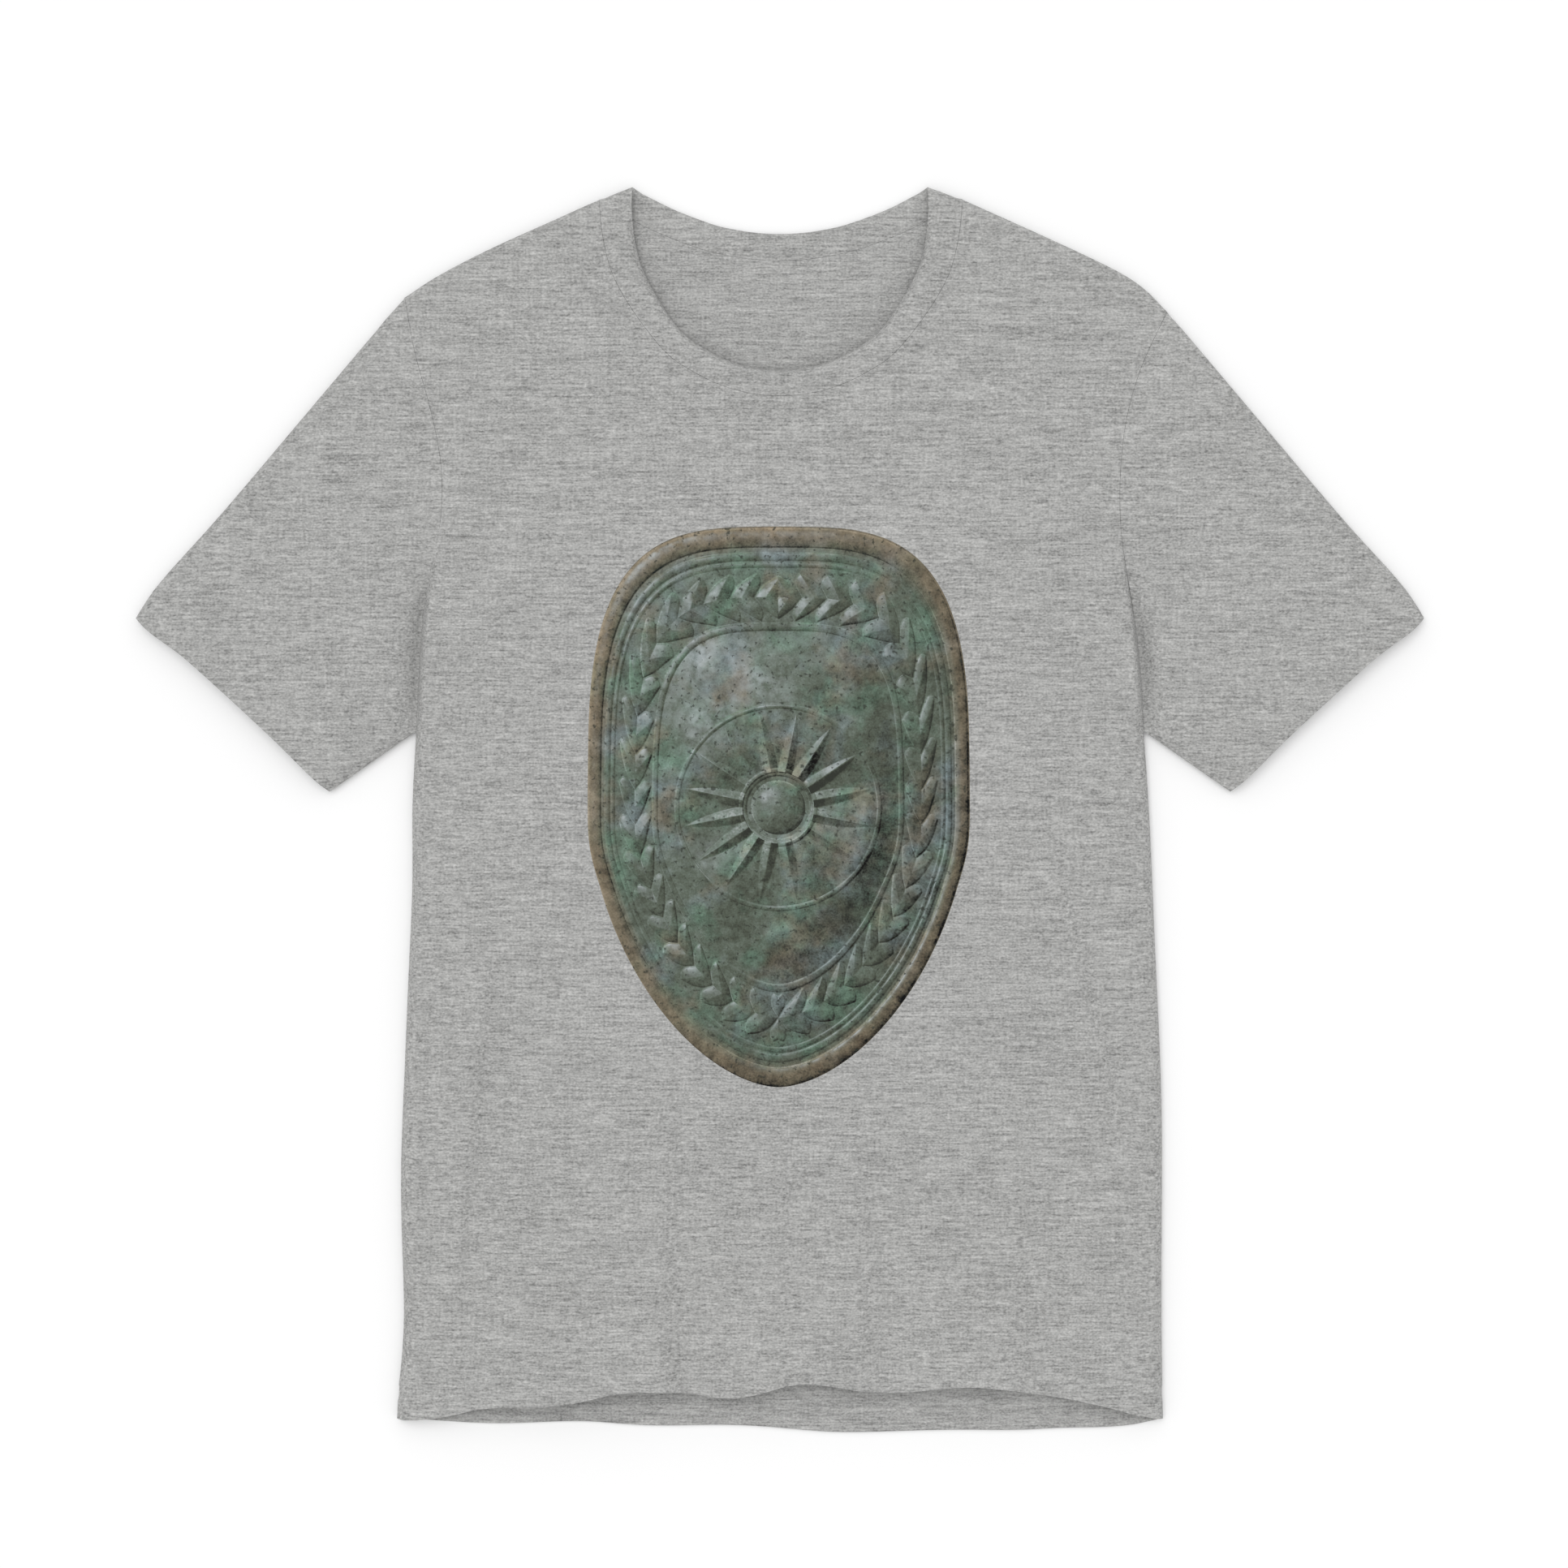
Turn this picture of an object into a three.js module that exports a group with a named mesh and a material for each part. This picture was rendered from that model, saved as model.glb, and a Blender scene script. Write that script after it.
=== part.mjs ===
// A short-sleeved crew-neck T-shirt of knitted jersey, lying flat on its back.
// It is sewn from a front panel, a back panel, two sleeves and a neckband, and is hollow and open at the
// neck, at the hem and at both cuffs.
// Millimetres. +X is to the wearer's left, +Y towards the neck, +Z up from the table.
// The origin is on the table, under the middle of the shirt's outline.
import * as THREE from "three";

// Cut of the shirt, as it lies.
const bodyLength = 704; // neck point down to the hem at the side seams
const shoulderWidth = 429; // tip to tip
const shoulderDrop = 63; // neck point down to the shoulder tip
const shoulderCurve = 8.6; // greatest rise of the shoulder line above its chord
const seamSlide = 10.5; // how far the wearer's left armhole seam has slid down the sleeve's top fold
const armholeDepth = 248; // shoulder tip down to the underarm
const armholeScoop = 19.5; // how far the armhole seam curves in from its chord
const chestWidth = 416; // underarm to underarm
const hemWidth = 438;
const frontHemRise = 21.5; // how far the front hem is drawn up above the side seams' ends
const backHemSag = 7.5; // how far the back hem hangs below them

// Neck and its band.
const neckWidth = 169; // between the neck points, at the band's free edge
const neckBulge = 4.2; // how far the front edge bows out from an ellipse
const frontNeckDrop = 105;
const backNeckDrop = 26.5;
const bandWidth = 15; // at the middle of the front and back
const bandWidthAtShoulder = 22;

// Sleeves. The two lengths and their angles leave a cuff 150 wide.
const sleeveLength = 239; // along the top fold, from the shoulder tip to the cuff
const sleeveAngle = 50; // degrees of the top fold below the horizontal
const underSleeveLength = 60; // along the lower fold, from the underarm to the cuff
const underSleeveAngle = 35;
const sleeveSwell = 2.5; // how far the top fold bows out from its chord near the cuff
const cuffWave = 2.3; // how far the cuff's edge wanders from its chord

// Cloth.
const clothThickness = 1;
const bandThickness = 2; // two layers, beyond the seam
const hemThickness = 1.9; // the cloth turned up once inside
const hemDepth = 20;
const cuffHemDepth = 18;
const hemStep = 1; // width of the slope at the inner edge of a turned-up hem
const seamGap = 0.3; // between pieces sewn edge to edge

// How the cloth lies: heights of its outer face above the table.
const foldHeight = 4; // at the shoulder, side and sleeve folds
const chestLoft = 13.5;
const hemLoft = 12.5;
const neckLoft = 7.8;
const sleeveLoft = 11.5;
const cuffLoft = 10;
const edgeRoll = 6; // distance from a fold over which the front makes edgeShare of its rise, steeply
const edgeShare = 0.3;
const bodyRoll = 90; // distance over which the body's front makes the rest, up to its full loft
const sleeveRoll = 60;
const backRoll = 7; // distance over which the back drops from a fold to the table
const foldBreadth = 0.5; // how near to a fold's line still counts as on it
const sleeveBlend = 60; // distance over which the body's loft passes into the sleeve's
const tuckDepth = 10; // of the valley where the sleeve goes in under the body at the underarm
const tuckBodyWidth = 2.2; // of the valley's side on the body
const tuckSleeveWidth = 7.5;
const softFoldWidth = 10; // half width of a soft fold in the front
const softFoldRise = 1.4;

// Shoulder line, from neck point to shoulder tip: right and left are the wearer's sides, as shares of
// shoulderCurve.
const shoulderRows = [
  { out: 0, right: 0, left: 0 },
  { out: 0.2, right: 0.31, left: 0.52 },
  { out: 0.35, right: 0.34, left: 0.62 },
  { out: 0.5, right: 0.45, left: 0.78 },
  { out: 0.65, right: 0.48, left: 0.9 },
  { out: 0.8, right: 0.43, left: 0.97 },
  { out: 0.9, right: 0.28, left: 0.75 },
  { out: 1, right: 0, left: 0 },
];

// Armhole, from shoulder tip to underarm: right and left are shares of armholeScoop.
const armholeRows = [
  { down: 0, right: 0, left: 0 },
  { down: 0.14, right: 0.3, left: 0.7 },
  { down: 0.27, right: 0.72, left: 1.05 },
  { down: 0.4, right: 0.97, left: 1.13 },
  { down: 0.48, right: 1, left: 1.1 },
  { down: 0.6, right: 0.66, left: 0.85 },
  { down: 0.73, right: 0.3, left: 0.46 },
  { down: 0.88, right: 0.1, left: 0.15 },
  { down: 1, right: 0, left: 0 },
];

// Side seam, from underarm to hem: right and left are shares of the way from the chest's half width to the
// hem's.
const sideSeamRows = [
  { down: 0, right: 0, left: 0 },
  { down: 0.11, right: 0.2, left: 0.26 },
  { down: 0.23, right: 0.2, left: 0.46 },
  { down: 0.35, right: 0.4, left: 0.64 },
  { down: 0.47, right: 0.57, left: 0.84 },
  { down: 0.59, right: 0.74, left: 0.95 },
  { down: 0.7, right: 0.8, left: 0.93 },
  { down: 0.85, right: 0.62, left: 0.92 },
  { down: 0.96, right: 0.93, left: 0.97 },
  { down: 1, right: 1, left: 1 },
];

// Hems, from the wearer's right to left: across is a share of the hem's half width, front a share of
// frontHemRise and back a share of backHemSag.
const hemRows = [
  { across: -1, front: 0, back: 0 },
  { across: -0.88, front: 0.07, back: 0.15 },
  { across: -0.78, front: 0.28, back: 0.33 },
  { across: -0.66, front: 0.39, back: 0.3 },
  { across: -0.53, front: 0.49, back: 0.12 },
  { across: -0.43, front: 0.7, back: 0.36 },
  { across: -0.32, front: 0.78, back: 0.5 },
  { across: -0.2, front: 0.7, back: 0.45 },
  { across: -0.1, front: 0.63, back: 0.46 },
  { across: -0.02, front: 0.83, back: 0.6 },
  { across: 0.06, front: 1, back: 0.88 },
  { across: 0.18, front: 0.86, back: 1 },
  { across: 0.3, front: 0.76, back: 0.92 },
  { across: 0.47, front: 0.91, back: 0.8 },
  { across: 0.6, front: 0.83, back: 0.86 },
  { across: 0.76, front: 0.55, back: 0.64 },
  { across: 0.88, front: 0.27, back: 0.6 },
  { across: 1, front: 0, back: 0 },
];

// Top fold of the sleeve, from shoulder tip to cuff: out is a share of sleeveSwell.
const sleeveFoldRows = [
  { along: 0, out: 0 },
  { along: 0.35, out: 0.15 },
  { along: 0.69, out: 0.3 },
  { along: 0.81, out: 0.75 },
  { along: 0.875, out: 1 },
  { along: 0.94, out: 0.8 },
  { along: 1, out: 0 },
];

// Cuff edge, from the top fold to the lower fold: out is a share of cuffWave.
const cuffRows = [
  { across: 0, out: 0 },
  { across: 0.07, out: 0.3 },
  { across: 0.23, out: -0.7 },
  { across: 0.47, out: -0.75 },
  { across: 0.73, out: -0.4 },
  { across: 0.93, out: 0.3 },
  { across: 1, out: 0 },
];

// Loft of the body's front, from hem to neck: up is a share of bodyLength, and hem and neck are the shares of
// the way from that end's loft to chestLoft.
const loftRows = [
  { up: 0, hem: 0, neck: 1 },
  { up: 0.08, hem: 0.25, neck: 1 },
  { up: 0.25, hem: 0.6, neck: 1 },
  { up: 0.45, hem: 0.9, neck: 1 },
  { up: 0.6, hem: 1, neck: 1 },
  { up: 0.72, hem: 1, neck: 0.8 },
  { up: 0.84, hem: 1, neck: 0.1 },
  { up: 1, hem: 1, neck: 0 },
];

// Soft folds in the front, each from its upper to its lower end: across is a share of the hem's half width
// and up of bodyLength, width is a share of softFoldWidth, and rise of softFoldRise, less than 0 in a valley.
const softFoldRows = [
  { across: -0.72, up: 0.42, toAcross: -0.84, toUp: 0.01, width: 1, rise: -0.9 },
  { across: 0.67, up: 0.53, toAcross: 0.86, toUp: 0.26, width: 0.9, rise: -1 },
  { across: -0.29, up: 0.27, toAcross: -0.19, toUp: -0.08, width: 2, rise: -0.8 },
  { across: 0.02, up: 0.24, toAcross: -0.1, toUp: -0.08, width: 1.4, rise: -0.9 },
  { across: 0.21, up: 0.27, toAcross: 0.31, toUp: -0.08, width: 1.5, rise: -0.8 },
  { across: 0.6, up: 0.24, toAcross: 0.73, toUp: -0.08, width: 1.6, rise: -0.6 },
  { across: -0.44, up: 0.22, toAcross: -0.36, toUp: -0.08, width: 1.6, rise: 0.7 },
  { across: 0.11, up: 0.24, toAcross: 0.07, toUp: -0.08, width: 1.4, rise: 0.9 },
  { across: 0.45, up: 0.22, toAcross: 0.48, toUp: -0.08, width: 2, rise: 0.8 },
];

// Grid lines, closer together at the folds. Columns of a panel are shares of its half width.
const neckColumn = 0.5; // the columns out to this one end at the bottom of the neck
const columnShares = [0, 0.13, 0.26, 0.38, neckColumn, 0.62, 0.73, 0.83, 0.91, 0.96, 0.986, 1];
const sideSeamSteps = [0.13, 0.23, 0.34, 0.45, 0.56, 0.67, 0.78, 0.88, 0.96, 1]; // up from the hem
const armholeLowSteps = [0.012, 0.04, 0.09, 0.16, 0.25, 0.36, 0.48, 0.6, 0.7, 0.78]; // up from the underarm
const armholeHighSteps = [0.86, 0.92, 0.96, 0.988, 1]; // and on, above the bottom of the neck
const neckSideSteps = [0.42, 0.68, 0.85, 0.955, 1]; // beside them, up the side of the neck
const neckSideAngle = 42; // degrees from the middle of the neck to where its sides begin
const bandSteps = [0, 0.5, 1];
const sleeveSteps = [0, 0.04, 0.12, 0.24, 0.38, 0.52, 0.66, 0.8, 0.92, 1]; // armhole to the cuff's hem
const curveSamples = 24; // chords that stand for a curved fold when a distance to it is taken
const weldShare = 100; // points within about 1 / weldShare of a millimetre are one point

const { lerp: mix, clamp, degToRad, smoothstep } = THREE.MathUtils;
const plan = (x, y) => new THREE.Vector2(x, y);
const mixPlan = (from, to, share) => from.clone().lerp(to, share);
const last = (list) => list[list.length - 1];

// Reads one column of a table at a place between its rows, along a smooth curve through them.
function read(rows, placeColumn, valueColumn, place) {
  const end = rows.length - 1;
  const next = rows.findIndex((row) => row[placeColumn] > place);
  const i = next < 0 ? end - 1 : Math.max(next - 1, 0);
  const at = (k) => rows[clamp(k, 0, end)][placeColumn];
  const value = (k) => rows[clamp(k, 0, end)][valueColumn];
  const slope = (k) => (value(k + 1) - value(k - 1)) / (at(k + 1) - at(k - 1));
  const run = at(i + 1) - at(i);
  const t = clamp((place - at(i)) / run, 0, 1);
  return (
    value(i) * (1 + 2 * t) * (1 - t) ** 2 +
    value(i + 1) * (3 - 2 * t) * t ** 2 +
    slope(i) * run * t * (1 - t) ** 2 +
    slope(i + 1) * run * (t - 1) * t ** 2
  );
}

// Outline of the shirt in plan, from the level of the side seams' ends. side is 1 on the wearer's left and -1
// on the right.
const sideName = (side) => (side > 0 ? "left" : "right");
const downwards = (side, degrees) =>
  plan(side * Math.cos(degToRad(degrees)), -Math.sin(degToRad(degrees)));
const sideSeamLength = bodyLength - shoulderDrop - armholeDepth;
const neckPoint = (side) => plan((side * neckWidth) / 2, bodyLength);
const sleeveTop = (side) => plan((side * shoulderWidth) / 2, bodyLength - shoulderDrop);
const underarm = (side) => plan((side * chestWidth) / 2, sideSeamLength);

function shoulderTip(side) {
  const slide = side > 0 ? seamSlide : 0;
  return sleeveTop(side).addScaledVector(downwards(side, sleeveAngle), slide);
}

function shoulderLine(side, out) {
  const point = mixPlan(neckPoint(side), shoulderTip(side), out);
  point.y += shoulderCurve * read(shoulderRows, "out", sideName(side), out);
  return point;
}

function armhole(side, down) {
  const point = mixPlan(shoulderTip(side), underarm(side), down);
  point.x -= side * armholeScoop * read(armholeRows, "down", sideName(side), down);
  return point;
}

function sideSeam(side, down) {
  const flare = read(sideSeamRows, "down", sideName(side), down);
  return plan((side * mix(chestWidth, hemWidth, flare)) / 2, sideSeamLength * (1 - down));
}

function hemLine(layer, across) {
  const depth = layer === "front" ? frontHemRise : -backHemSag;
  return plan((across * hemWidth) / 2, depth * read(hemRows, "across", layer, across));
}

const cuffTop = (side) => sleeveTop(side).addScaledVector(downwards(side, sleeveAngle), sleeveLength);
const cuffBottom = (side) =>
  underarm(side).addScaledVector(downwards(side, underSleeveAngle), underSleeveLength);

function cuffEdge(side, across) {
  const point = mixPlan(cuffTop(side), cuffBottom(side), across);
  const out = cuffWave * read(cuffRows, "across", "out", across);
  return point.addScaledVector(downwards(side, sleeveAngle), out);
}

// A point of the sleeve, down from its top fold and along from the armhole to the cuff. The top fold's swell
// dies away towards the lower fold.
function sleevePoint(side, down, along) {
  const point = mixPlan(armhole(side, down), cuffEdge(side, down), along);
  const out = sleeveSwell * read(sleeveFoldRows, "along", "out", along) * (1 - down) ** 2;
  return point.addScaledVector(downwards(side, sleeveAngle - 90), out);
}

// The neck's free edge and the band's seam. turn runs from 0 at the wearer's right shoulder, through 0.5 in
// the middle, to 1 at the left.
const bandShare = bandWidthAtShoulder / neckPoint(1).distanceTo(shoulderTip(1));
const neckDrop = { front: frontNeckDrop, back: backNeckDrop };

function neckCurve(layer, end, bottom, bulge, turn) {
  const angle = Math.PI * turn;
  if (layer === "front") {
    const across = -Math.abs(end.x) * Math.cos(angle) - bulge * Math.sin(2 * angle);
    return plan(across, mix(end.y, bottom, Math.sin(angle)));
  }
  const across = 2 * turn - 1;
  return plan(Math.abs(end.x) * across, mix(bottom, end.y, across ** 2));
}

const turnSide = (turn) => (turn < 0.5 ? -1 : 1);
const neckEdge = (layer, turn) =>
  neckCurve(layer, neckPoint(turnSide(turn)), bodyLength - neckDrop[layer], neckBulge, turn);
const neckSeam = (layer, turn) =>
  neckCurve(
    layer,
    shoulderLine(turnSide(turn), bandShare),
    bodyLength - neckDrop[layer] - bandWidth,
    0,
    turn,
  );

// The lines in plan that heights are worked out from, as short chords: the folds where the front passes round
// to the back, the armhole seams and the cuffs.
const sides = [-1, 1];
const sampled = (curve) => Array.from({ length: curveSamples + 1 }, (_, i) => curve(i / curveSamples));
const bodyFolds = sides.flatMap((side) => [
  sampled((share) => sideSeam(side, share)),
  sampled((share) => shoulderLine(side, share)),
]);
const sleeveFolds = sides.flatMap((side) => [
  sampled((share) => sleevePoint(side, 0, share)),
  [underarm(side), cuffBottom(side)],
]);
const armholeSeams = sides.map((side) => sampled((share) => armhole(side, share)));
const cuffs = sides.map((side) => [cuffTop(side), cuffBottom(side)]);

// The distance from a point to the nearest chord of a line, and how far along the line that is, from 0 to 1.
function nearest(line, point) {
  let best = { distance: Infinity, along: 0 };
  for (let i = 0; i + 1 < line.length; i++) {
    const run = line[i + 1].clone().sub(line[i]);
    const share = clamp(point.clone().sub(line[i]).dot(run) / run.lengthSq(), 0, 1);
    const distance = line[i].clone().addScaledVector(run, share).distanceTo(point);
    if (distance < best.distance) best = { distance, along: (i + share) / (line.length - 1) };
  }
  return best;
}

function foldDistance(lines, point) {
  const distance = Math.min(...lines.map((line) => nearest(line, point).distance));
  return Math.max(distance - foldBreadth, 0);
}

const roundedRise = (share) => Math.sqrt(1 - (1 - clamp(share, 0, 1)) ** 2);
const frontRise = (distance, roll) =>
  mix(roundedRise(distance / roll), roundedRise(distance / edgeRoll), edgeShare);
const bell = (distance, width) => Math.exp(-((distance / width) ** 2));

function softFolds(point) {
  let sum = 0;
  for (const row of softFoldRows) {
    const start = plan((row.across * hemWidth) / 2, row.up * bodyLength);
    const end = plan((row.toAcross * hemWidth) / 2, row.toUp * bodyLength);
    const { distance, along } = nearest([start, end], point);
    const fade = smoothstep(along, 0, 0.5) * (1 - smoothstep(along, 0.8, 1));
    sum += softFoldRise * row.rise * fade * bell(distance, softFoldWidth * row.width);
  }
  return sum;
}

// Height of the outer face of the upper layer. onSleeve tells the sleeve's side of the armhole from the
// body's.
function frontHeight(point, onSleeve) {
  const sideIndex = point.x < 0 ? 0 : 1;
  const up = clamp(point.y / bodyLength, 0, 1);
  const hemToChest = mix(hemLoft, chestLoft, read(loftRows, "up", "hem", up));
  const neckToChest = mix(neckLoft, chestLoft, read(loftRows, "up", "neck", up));
  const seam = nearest(armholeSeams[sideIndex], point);
  const intoSleeve = onSleeve ? seam.distance : 0;
  const toCuff = nearest(cuffs[sideIndex], point).distance;
  const loft = mix(
    Math.min(hemToChest, neckToChest) + (onSleeve ? 0 : softFolds(point)),
    mix(sleeveLoft, cuffLoft, intoSleeve / (intoSleeve + toCuff)),
    smoothstep(intoSleeve, 0, sleeveBlend),
  );
  const tuckWidth = onSleeve ? tuckSleeveWidth : tuckBodyWidth;
  const tuck = tuckDepth * smoothstep(seam.along, 0.5, 0.85) * bell(seam.distance, tuckWidth);
  const rise = Math.min(
    frontRise(foldDistance(bodyFolds, point), bodyRoll),
    frontRise(foldDistance(sleeveFolds, point), sleeveRoll),
  );
  return foldHeight + Math.max(loft - tuck - foldHeight, 0) * rise;
}

// Height of the outer face of the lower layer, which lies on the table except near the folds.
function backHeight(point) {
  const distance = foldDistance([...bodyFolds, ...sleeveFolds], point);
  return foldHeight * (1 - roundedRise(distance / backRoll));
}

function layerPoint(layer, point, onSleeve = false) {
  const height = layer === "front" ? frontHeight(point, onSleeve) : backHeight(point);
  return new THREE.Vector3(point.x, point.y, height);
}

// A piece of cloth before it has a thickness: points of its outer face, the thickness at each, and four-sided
// cells of point numbers, counter-clockwise from outside.
const placeName = (point) => point.toArray().map((value) => Math.round(value * weldShare)).join();

class Piece {
  points = [];
  thicknesses = [];
  cells = [];
  numbers = new Map();

  constructor(name) {
    this.name = name;
  }

  addPoint(point, thickness) {
    const place = placeName(point);
    if (!this.numbers.has(place)) {
      this.numbers.set(place, this.points.length);
      this.points.push(point);
      this.thicknesses.push(thickness);
    }
    return this.numbers.get(place);
  }

  // at(column, row) gives a point and its thickness. turned is for a grid that runs clockwise from outside.
  addGrid(columns, rows, at, turned) {
    const grid = [];
    for (let row = 0; row <= rows; row++) {
      grid.push([]);
      for (let column = 0; column <= columns; column++) {
        grid[row].push(this.addPoint(...at(column, row)));
      }
    }
    for (let row = 0; row < rows; row++) {
      for (let column = 0; column < columns; column++) {
        const lower = [grid[row][column], grid[row][column + 1]];
        const upper = [grid[row + 1][column + 1], grid[row + 1][column]];
        const cell = [...lower, ...upper];
        this.cells.push(turned ? cell.reverse() : cell);
      }
    }
  }

  // Twice the area of a cell, along its outward direction.
  cellArea(cell) {
    const [a, b, c, d] = cell.map((number) => this.points[number]);
    return c.clone().sub(a).cross(d.clone().sub(b));
  }

  // Edges of the outer face that belong to one cell only, each with the piece on its left from outside.
  borders() {
    const edges = this.cells.flatMap((cell) =>
      cell.map((from, i) => ({ from, to: cell[(i + 1) % cell.length], cell })),
    );
    const known = new Set(edges.map(({ from, to }) => [from, to].join()));
    return edges.filter(({ from, to }) => !known.has([to, from].join()));
  }
}

// Fills the middle of four curves: bottom and top run along u, and start and end run along v.
function fill(bottom, top, start, end, u, v) {
  const point = mixPlan(bottom(u), top(u), v).add(mixPlan(start(v), end(v), u));
  const corners = mixPlan(mixPlan(bottom(0), bottom(1), u), mixPlan(top(0), top(1), u), v);
  return point.sub(corners);
}

// A body panel. Its lower part runs from the hem to the bottom of the neck and its level at the armholes, and
// an upper part on each side of the neck runs on to the shoulder line.
const columns = [...columnShares.slice(1).reverse().map((share) => -share), ...columnShares];
const upperColumns = columnShares.filter((share) => share >= neckColumn);
const neckLevel = last(armholeLowSteps);
const neckTurn = (side, beside) => 0.5 + (side * mix(neckSideAngle / 180, 0.5, beside));
const hemRowDepths = [0, hemDepth / 2, hemDepth, hemDepth + hemStep];
const hemRowCount = 3; // rows of points with the hem's double thickness

function bodyEdge(side, row) {
  const seamSteps = [...hemRowDepths.map((depth) => depth / sideSeamLength), ...sideSeamSteps];
  if (row < seamSteps.length) return sideSeam(side, 1 - seamSteps[row]);
  return armhole(side, 1 - armholeLowSteps[row - seamSteps.length]);
}

const bottomTurn = (across) => 0.5 + ((across / neckColumn) * neckSideAngle) / 180;

function lowerTop(layer, across) {
  if (Math.abs(across) <= neckColumn) return neckSeam(layer, bottomTurn(across));
  const side = Math.sign(across);
  const out = (Math.abs(across) - neckColumn) / (1 - neckColumn);
  return mixPlan(neckSeam(layer, neckTurn(side, 0)), armhole(side, 1 - neckLevel), out);
}

function bodyPanel(name, layer) {
  const piece = new Piece(name);
  const rows = hemRowDepths.length + sideSeamSteps.length + armholeLowSteps.length - 1;
  const lowerPoint = (column, row) => {
    const point = fill(
      (u) => hemLine(layer, 2 * u - 1),
      (u) => lowerTop(layer, 2 * u - 1),
      () => bodyEdge(-1, row),
      () => bodyEdge(1, row),
      (columns[column] + 1) / 2,
      row / rows,
    );
    return [layerPoint(layer, point), row < hemRowCount ? hemThickness : clothThickness];
  };
  piece.addGrid(columns.length - 1, rows, lowerPoint, layer === "back");
  for (const side of sides) {
    const levels = [0, ...armholeHighSteps.map((step) => (step - neckLevel) / (1 - neckLevel))];
    const upperPoint = (column, row) => {
      const point = fill(
        (u) => lowerTop(layer, side * mix(neckColumn, 1, u)),
        (u) => shoulderLine(side, mix(bandShare, 1, u)),
        () => neckSeam(layer, neckTurn(side, [0, ...neckSideSteps][row])),
        () => armhole(side, (1 - neckLevel) * (1 - levels[row])),
        (upperColumns[column] - neckColumn) / (1 - neckColumn),
        levels[row],
      );
      return [layerPoint(layer, point), clothThickness];
    };
    const turned = (layer === "back") !== side < 0;
    piece.addGrid(upperColumns.length - 1, levels.length - 1, upperPoint, turned);
  }
  return piece;
}

// A sleeve, with its top and lower folds inside the one piece.
function sleeve(name, side) {
  const piece = new Piece(name);
  const downShares = [0, ...armholeLowSteps, ...armholeHighSteps].map((step) => 1 - step);
  const cuffDepths = [cuffHemDepth, cuffHemDepth / 2, 0];
  for (const layer of ["front", "back"]) {
    const at = (column, row) => {
      const down = downShares[column];
      const length = armhole(side, down).distanceTo(cuffEdge(side, down));
      const inHem = row >= sleeveSteps.length;
      const hemStart = 1 - (cuffHemDepth + hemStep) / length;
      const hemAlong = 1 - cuffDepths[row - sleeveSteps.length] / length;
      const along = inHem ? hemAlong : sleeveSteps[row] * hemStart;
      const point = layerPoint(layer, sleevePoint(side, down, along), row > 0);
      return [point, inHem ? hemThickness : clothThickness];
    };
    const rows = sleeveSteps.length + cuffDepths.length - 1;
    piece.addGrid(downShares.length - 1, rows, at, (layer === "back") !== side > 0);
  }
  return piece;
}

// The neckband, a ring of doubled cloth sewn round the neck.
function neckband(name) {
  const piece = new Piece(name);
  const sideTurns = [0, ...neckSideSteps].map((step) => neckTurn(1, step));
  const innerColumns = columns.filter((share) => Math.abs(share) < neckColumn);
  const turns = [
    ...sideTurns.map((turn) => 1 - turn).reverse(),
    ...innerColumns.map(bottomTurn),
    ...sideTurns,
  ];
  for (const layer of ["front", "back"]) {
    const at = (column, row) => {
      const turn = turns[column];
      const atFold = column === 0 || column === turns.length - 1;
      const point = atFold
        ? shoulderLine(turnSide(turn), bandShare * (1 - bandSteps[row]))
        : mixPlan(neckSeam(layer, turn), neckEdge(layer, turn), bandSteps[row]);
      return [layerPoint(layer, point), row > 0 ? bandThickness : clothThickness];
    };
    piece.addGrid(turns.length - 1, bandSteps.length - 1, at, layer === "back");
  }
  return piece;
}

const pieces = [
  bodyPanel("front_panel", "front"),
  bodyPanel("back_panel", "back"),
  sleeve("sleeve_left", 1),
  sleeve("sleeve_right", -1),
  neckband("neckband"),
];

// The outward direction at each place, averaged over all the pieces that meet there, and how many there are.
const outwards = new Map();
const pieceCounts = new Map();
for (const piece of pieces) {
  for (const place of piece.numbers.keys()) pieceCounts.set(place, (pieceCounts.get(place) ?? 0) + 1);
  for (const cell of piece.cells) {
    const area = piece.cellArea(cell);
    for (const number of cell) {
      const place = placeName(piece.points[number]);
      outwards.set(place, (outwards.get(place) ?? new THREE.Vector3()).add(area));
    }
  }
}

// How far each point of a piece is drawn back from its seams, so that half of seamGap is left there.
function drawBack(piece, borders) {
  const inwards = piece.points.map(() => []);
  for (const { from, to, cell } of borders) {
    const ends = [from, to].map((number) => piece.points[number]);
    if (ends.some((point) => pieceCounts.get(placeName(point)) < 2)) continue;
    const inward = piece.cellArea(cell).cross(ends[1].clone().sub(ends[0])).normalize();
    for (const number of [from, to]) inwards[number].push(inward);
  }
  return inwards.map((directions) => {
    const sum = directions.reduce((a, b) => a.clone().add(b), new THREE.Vector3());
    return sum.multiplyScalar(((seamGap / 2) * directions.length) / Math.max(sum.lengthSq(), 1));
  });
}

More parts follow.
